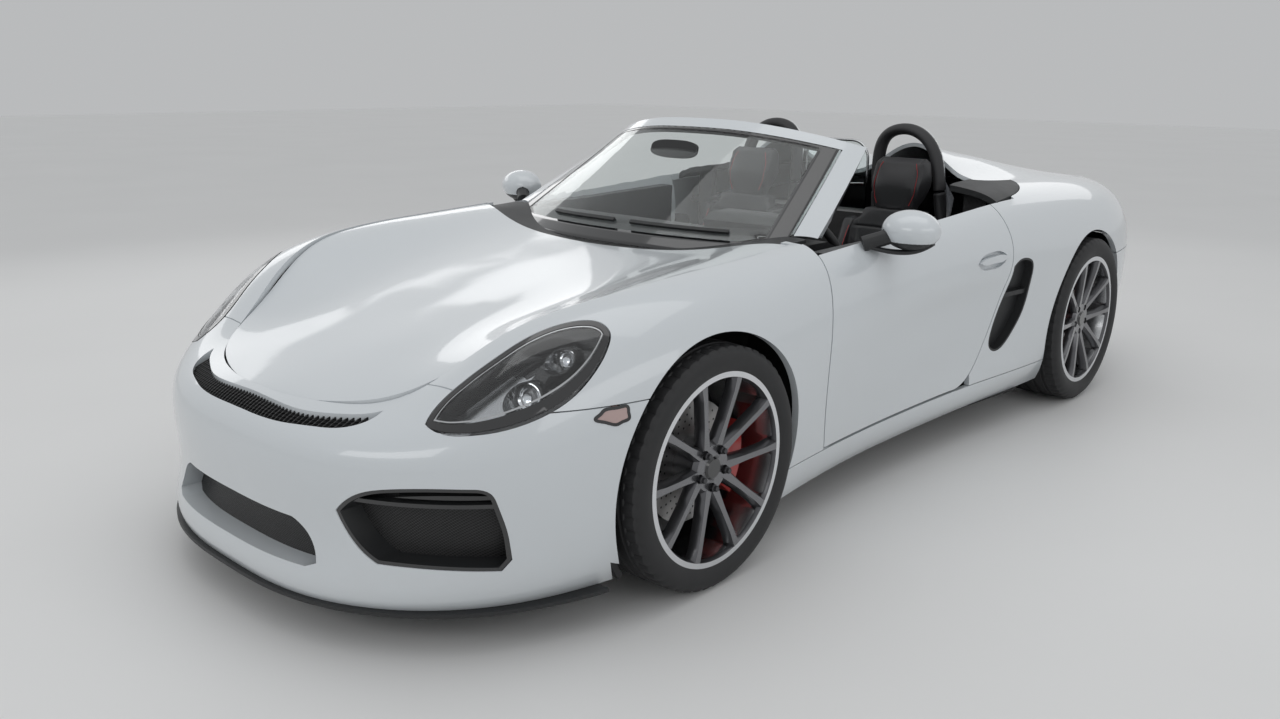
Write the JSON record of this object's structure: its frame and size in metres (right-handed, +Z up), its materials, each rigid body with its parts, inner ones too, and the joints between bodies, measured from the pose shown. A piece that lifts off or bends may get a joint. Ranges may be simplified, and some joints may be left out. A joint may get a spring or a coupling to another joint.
{
  "type": "two-seat roadster car",
  "caption": "Open two-seat mid-engined roadster with hinged doors, bonnet and rear lid, steered front wheels and rolling wheels.",
  "frame": {"origin": "on the ground at the centre of the car's length and width", "axes": "+Z up, the car faces -Y, +X is its left side"},
  "size_m": [1.9724, 4.4279, 1.1888],
  "materials": {
    "white_paint": "gloss",
    "black_plastic": "satin",
    "structure": "matte",
    "glass_clear": "clear",
    "lamp_housing": "gloss",
    "lamp_lens": "clear",
    "lamp_red": "gloss",
    "leather": "satin",
    "tyre_rubber": "matte",
    "rim_metal": "satin",
    "caliper_red": "gloss",
    "cast_metal": "matte",
    "chassis_alloy": "matte",
    "exhaust_metal": "satin"
  },
  "bodies": {
    "body": {"calipers_rear": "caliper_red", "centre_console": "leather", "cowl": "black_plastic", "dashboard": "leather", "exhaust": "exhaust_metal", "front_bumper": "white_paint", "front_fender_left": "white_paint", "front_fender_right": "white_paint", "front_frame": "structure", "front_grilles": "black_plastic", "front_marker_lamps": "lamp_lens", "front_splitter": "black_plastic", "front_suspension": "chassis_alloy", "headlamp_housings": "lamp_housing", "headlamp_lenses": "lamp_lens", "intake_inserts": "black_plastic", "powertrain": "cast_metal", "quarter_trims": "black_plastic", "rear_bumper": "white_paint", "rear_diffuser": "black_plastic", "rear_frame": "structure", "rear_quarter_left": "white_paint", "rear_quarter_right": "white_paint", "rear_spoiler": "white_paint", "rear_suspension": "chassis_alloy", "roll_hoops": "black_plastic", "seat_left": "leather", "seat_right": "leather", "side_intakes": "black_plastic", "side_skirts": "white_paint", "tail_lamps": "lamp_red", "tub": "structure", "wind_deflector": "glass_clear", "windscreen": "glass_clear", "windscreen_frame": "white_paint", "wipers": "black_plastic"},
    "door_left": {"door_left": "white_paint", "door_lining_left": "leather", "mirror_left": "white_paint"},
    "door_right": {"door_right": "white_paint", "door_lining_right": "leather", "mirror_right": "white_paint"},
    "bonnet": {"bonnet": "white_paint"},
    "rear_lid": {"rear_lid": "white_paint"},
    "steering_wheel": {"steering_wheel": "black_plastic"},
    "knuckle_left": {"knuckle_front_left": "chassis_alloy", "caliper_front_left": "caliper_red"},
    "knuckle_right": {"knuckle_front_right": "chassis_alloy", "caliper_front_right": "caliper_red"},
    "wheel_front_left": {"tyre_front_left": "tyre_rubber", "rim_front_left": "rim_metal"},
    "wheel_front_right": {"tyre_front_right": "tyre_rubber", "rim_front_right": "rim_metal"},
    "wheel_rear_left": {"tyre_rear_left": "tyre_rubber", "rim_rear_left": "rim_metal"},
    "wheel_rear_right": {"tyre_rear_right": "tyre_rubber", "rim_rear_right": "rim_metal"}
  },
  "joints": [
    {"name": "door_left_hinge", "type": "hinge", "parent": "body", "child": "door_left", "pos_m": [0.86, -0.665, 0.5], "axis": [0, 0, -1], "range_deg": [0, 65]},
    {"name": "door_right_hinge", "type": "hinge", "parent": "body", "child": "door_right", "pos_m": [-0.86, -0.665, 0.5], "axis": [0, 0, 1], "range_deg": [0, 65]},
    {"name": "bonnet_hinge", "type": "hinge", "parent": "body", "child": "bonnet", "pos_m": [0, -0.752, 0.88], "axis": [-1, 0, 0], "range_deg": [0, 60]},
    {"name": "rear_lid_hinge", "type": "hinge", "parent": "body", "child": "rear_lid", "pos_m": [0, 2.016, 0.888], "axis": [-1, 0, 0], "range_deg": [0, 45]},
    {"name": "steering_turn", "type": "hinge", "parent": "body", "child": "steering_wheel", "pos_m": [0.362, -0.20043, 0.7224], "axis": [0, 0.9135, 0.4067], "range_deg": [-525, 525]},
    {"name": "kingpin_left", "type": "hinge", "parent": "body", "child": "knuckle_left", "pos_m": [0.692, -1.282, 0.336], "axis": [0, 0, 1], "range_deg": [-35.5, 35.5]},
    {"name": "kingpin_right", "type": "hinge", "parent": "body", "child": "knuckle_right", "pos_m": [-0.692, -1.282, 0.336], "axis": [0, 0, 1], "range_deg": [-35.5, 35.5]},
    {"name": "wheel_front_left_spin", "type": "hinge", "parent": "knuckle_left", "child": "wheel_front_left", "pos_m": [0.763, -1.282, 0.336], "axis": [1, 0, 0], "continuous": true},
    {"name": "wheel_front_right_spin", "type": "hinge", "parent": "knuckle_right", "child": "wheel_front_right", "pos_m": [-0.763, -1.282, 0.336], "axis": [1, 0, 0], "continuous": true},
    {"name": "wheel_rear_left_spin", "type": "hinge", "parent": "body", "child": "wheel_rear_left", "pos_m": [0.77, 1.193, 0.347], "axis": [1, 0, 0], "continuous": true},
    {"name": "wheel_rear_right_spin", "type": "hinge", "parent": "body", "child": "wheel_rear_right", "pos_m": [-0.77, 1.193, 0.347], "axis": [1, 0, 0], "continuous": true}
  ],
  "couplings": [
    {"joint": "kingpin_left", "follows": "steering_turn", "ratio": 0.0666},
    {"joint": "kingpin_right", "follows": "steering_turn", "ratio": 0.0666}
  ]
}
